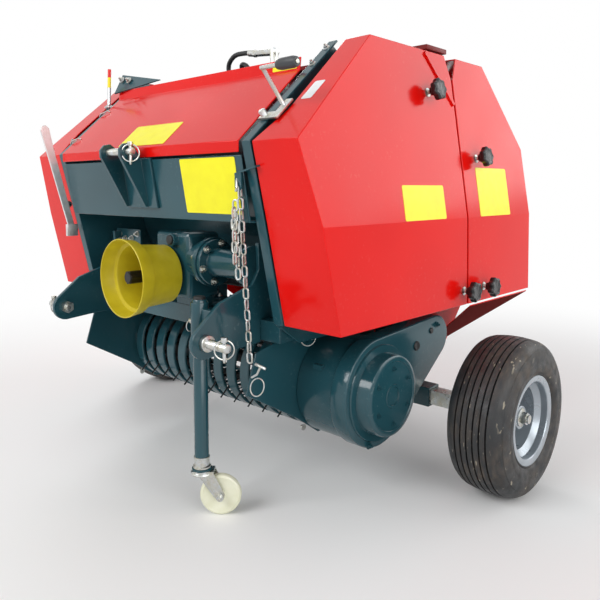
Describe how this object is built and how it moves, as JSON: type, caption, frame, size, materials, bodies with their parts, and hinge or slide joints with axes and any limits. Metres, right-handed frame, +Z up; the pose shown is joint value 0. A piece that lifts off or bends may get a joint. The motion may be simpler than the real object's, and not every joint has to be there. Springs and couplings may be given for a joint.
{
  "type": "compact round baler",
  "caption": "Small towed round baler with hinged side covers, lifting tailgate, pickup reel, hitch, drive shaft guard, castor jack and two wheels.",
  "frame": {"origin": "on the ground under the middle of the machine's box", "axes": "+Z up, -Y towards the tractor (front), +X towards the machine's left, along the axle"},
  "size_m": [1.631, 1.125, 1.1645],
  "materials": {
    "red_enamel": "gloss signal red enamel",
    "green_enamel": "gloss dark petrol green enamel",
    "yellow_plastic": "moulded guard yellow",
    "zinc_plate": "bright zinc plated",
    "steel_roller": "rolled steel",
    "black_steel": "satin black",
    "tyre_rubber": "dusty ribbed rubber",
    "silver_rim": "silver wheel enamel",
    "cream_nylon": "cast nylon",
    "hose_rubber": "hydraulic hose cover",
    "grip_plastic": "moulded grip"
  },
  "bodies": {
    "chassis": {"axle_bar": "zinc_plate", "axle_tube": "green_enamel", "bale_indicator": "zinc_plate", "chamber_shell": "green_enamel", "crank_grip": "grip_plastic", "crank_handle": "zinc_plate", "drive_case": "green_enamel", "drive_tube": "green_enamel", "feed_hose": "hose_rubber", "frame_side_left": "green_enamel", "frame_side_right": "green_enamel", "front_panel": "green_enamel", "gearbox": "green_enamel", "hinge_beam": "red_enamel", "hitch_beam": "green_enamel", "hose_block": "zinc_plate", "jack_sleeve": "green_enamel", "lower_arm_left": "green_enamel", "lower_arm_right": "green_enamel", "lower_pin_left": "zinc_plate", "lower_pin_right": "zinc_plate", "pickup_bands": "green_enamel", "pickup_end_left": "green_enamel", "pickup_end_right": "green_enamel", "pto_guard": "yellow_plastic", "return_hose": "hose_rubber", "side_lever": "zinc_plate", "top_cover": "red_enamel", "top_link_bracket": "green_enamel", "top_link_pin": "zinc_plate"},
    "pto_shaft": {"pto_shaft": "black_steel"},
    "pickup_reel": {"pickup_reel": "black_steel"},
    "jack_leg": {"jack_leg": "green_enamel"},
    "castor_fork": {"castor_fork": "zinc_plate"},
    "castor_wheel": {"castor_wheel": "cream_nylon"},
    "tailgate": {"tailgate": "red_enamel"},
    "front_cover_left": {"front_cover_left": "red_enamel"},
    "front_cover_right": {"front_cover_right": "red_enamel"},
    "rear_cover_left": {"rear_cover_left": "red_enamel"},
    "rear_cover_right": {"rear_cover_right": "red_enamel"},
    "front_roller_top": {"front_roller_top": "steel_roller"},
    "front_roller_middle": {"front_roller_middle": "steel_roller"},
    "front_roller_floor": {"front_roller_floor": "steel_roller"},
    "gate_roller_top": {"gate_roller_top": "steel_roller"},
    "gate_roller_middle": {"gate_roller_middle": "steel_roller"},
    "gate_roller_low": {"gate_roller_low": "steel_roller"},
    "wheel_left": {"wheel_rim_left": "silver_rim", "tyre_left": "tyre_rubber"},
    "wheel_right": {"wheel_rim_right": "silver_rim", "tyre_right": "tyre_rubber"}
  },
  "joints": [
    {"name": "pto_spin", "type": "hinge", "parent": "chassis", "child": "pto_shaft", "pos_m": [0.03, -0.4188, 0.56], "axis": [0, -1, 0], "continuous": true},
    {"name": "reel_spin", "type": "hinge", "parent": "chassis", "child": "pickup_reel", "pos_m": [0, -0.1205, 0.272], "axis": [1, 0, 0], "continuous": true},
    {"name": "jack_slide", "type": "slide", "parent": "chassis", "child": "jack_leg", "axis": [0, 0, 1], "range_m": [0, 0.2]},
    {"name": "castor_swivel", "type": "hinge", "parent": "jack_leg", "child": "castor_fork", "pos_m": [0.258, -0.4835, 0.1115], "axis": [0, 0, 1], "continuous": true},
    {"name": "castor_roll", "type": "hinge", "parent": "castor_fork", "child": "castor_wheel", "pos_m": [0.2909, -0.4528, 0.05], "axis": [-0.6822, 0.7312, 0], "continuous": true},
    {"name": "wheel_left_spin", "type": "hinge", "parent": "chassis", "child": "wheel_left", "pos_m": [0.738, 0.1355, 0.203], "axis": [1, 0, 0], "continuous": true},
    {"name": "wheel_right_spin", "type": "hinge", "parent": "chassis", "child": "wheel_right", "pos_m": [-0.738, 0.1355, 0.203], "axis": [1, 0, 0], "continuous": true},
    {"name": "tailgate_lift", "type": "hinge", "parent": "chassis", "child": "tailgate", "pos_m": [0, 0.1815, 1.1535], "axis": [1, 0, 0], "range_deg": [0, 55]},
    {"name": "front_cover_left_swing", "type": "hinge", "parent": "chassis", "child": "front_cover_left", "pos_m": [0.432, -0.3755, 0.47], "axis": [0, 0.2293, -0.9734], "range_deg": [0, 75]},
    {"name": "front_cover_right_swing", "type": "hinge", "parent": "chassis", "child": "front_cover_right", "pos_m": [-0.432, -0.3755, 0.47], "axis": [0, -0.2293, 0.9734], "range_deg": [0, 75]},
    {"name": "rear_cover_left_swing", "type": "hinge", "parent": "tailgate", "child": "rear_cover_left", "pos_m": [0.412, 0.5625, 0.47], "axis": [0, 0, 1], "range_deg": [0, 75]},
    {"name": "rear_cover_right_swing", "type": "hinge", "parent": "tailgate", "child": "rear_cover_right", "pos_m": [-0.412, 0.5625, 0.47], "axis": [0, 0, -1], "range_deg": [0, 75]},
    {"name": "front_roller_top_spin", "type": "hinge", "parent": "chassis", "child": "front_roller_top", "pos_m": [0, -0.0395, 1.0017], "axis": [1, 0, 0], "continuous": true},
    {"name": "front_roller_middle_spin", "type": "hinge", "parent": "chassis", "child": "front_roller_middle", "pos_m": [0, -0.1673, 0.8193], "axis": [1, 0, 0], "continuous": true},
    {"name": "front_roller_floor_spin", "type": "hinge", "parent": "chassis", "child": "front_roller_floor", "pos_m": [0, 0.0234, 0.4889], "axis": [1, 0, 0], "continuous": true},
    {"name": "gate_roller_top_spin", "type": "hinge", "parent": "tailgate", "child": "gate_roller_top", "pos_m": [0, 0.287, 0.9846], "axis": [1, 0, 0], "continuous": true},
    {"name": "gate_roller_middle_spin", "type": "hinge", "parent": "tailgate", "child": "gate_roller_middle", "pos_m": [0, 0.3949, 0.7898], "axis": [1, 0, 0], "continuous": true},
    {"name": "gate_roller_low_spin", "type": "hinge", "parent": "tailgate", "child": "gate_roller_low", "pos_m": [0, 0.3165, 0.562], "axis": [1, 0, 0], "continuous": true}
  ],
  "couplings": [
    {"joint": "reel_spin", "follows": "pto_spin", "ratio": 0.22},
    {"joint": "front_roller_top_spin", "follows": "pto_spin", "ratio": 0.3},
    {"joint": "front_roller_middle_spin", "follows": "pto_spin", "ratio": 0.3},
    {"joint": "front_roller_floor_spin", "follows": "pto_spin", "ratio": 0.3},
    {"joint": "gate_roller_top_spin", "follows": "pto_spin", "ratio": 0.3},
    {"joint": "gate_roller_middle_spin", "follows": "pto_spin", "ratio": 0.3},
    {"joint": "gate_roller_low_spin", "follows": "pto_spin", "ratio": 0.3}
  ]
}
